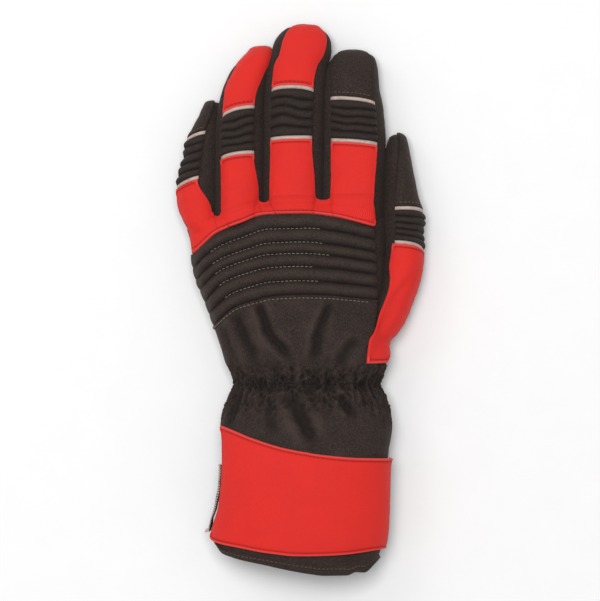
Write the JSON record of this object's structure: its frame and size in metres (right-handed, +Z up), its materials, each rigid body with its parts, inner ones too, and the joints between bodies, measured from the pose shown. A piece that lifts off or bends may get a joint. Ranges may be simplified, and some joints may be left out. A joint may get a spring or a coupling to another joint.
{
  "type": "firefighter glove",
  "caption": "Left structural firefighting glove, lying palm down: hollow cloth shell with red panels, ribbed knuckle guard, gathered wrist and zipped gauntlet cuff.",
  "frame": {"origin": "centre of the palm, on the surface that the glove lies on", "axes": "+X towards the thumb side, +Y towards the fingertips, +Z up through the back of the hand"},
  "size_m": [0.1596, 0.346, 0.0571],
  "materials": {
    "black_cloth": "matt brownish black woven cloth",
    "stretch_cloth": "matt black stretch cloth",
    "red_cloth": "matt red woven cloth",
    "grey_piping": "grey reflective cord piping"
  },
  "bodies": {
    "root": {"hand_body": "black_cloth", "index_stall": "black_cloth", "index_lower_piping": "grey_piping", "index_flex": "stretch_cloth", "index_upper_piping": "grey_piping", "index_tip_panel": "black_cloth", "middle_stall": "black_cloth", "middle_lower_piping": "grey_piping", "middle_flex": "stretch_cloth", "middle_upper_piping": "grey_piping", "middle_tip_panel": "red_cloth", "ring_stall": "black_cloth", "ring_lower_piping": "grey_piping", "ring_flex": "stretch_cloth", "ring_upper_piping": "grey_piping", "ring_tip_panel": "red_cloth", "little_stall": "black_cloth", "little_lower_piping": "grey_piping", "little_flex": "stretch_cloth", "little_upper_piping": "grey_piping", "little_tip_panel": "black_cloth", "thumb_stall": "black_cloth", "thumb_lower_piping": "grey_piping", "thumb_flex": "stretch_cloth", "thumb_upper_piping": "grey_piping", "thumb_tip_panel": "black_cloth", "knuckle_panel": "red_cloth", "knuckle_guard": "black_cloth", "back_panel": "black_cloth", "thumb_panel": "red_cloth", "gauntlet": "black_cloth", "cuff_flap": "red_cloth", "cuff_hem": "black_cloth", "zip_tape": "stretch_cloth", "zip_teeth": "grey_piping", "zip_tab": "grey_piping"}
  },
  "joints": []
}
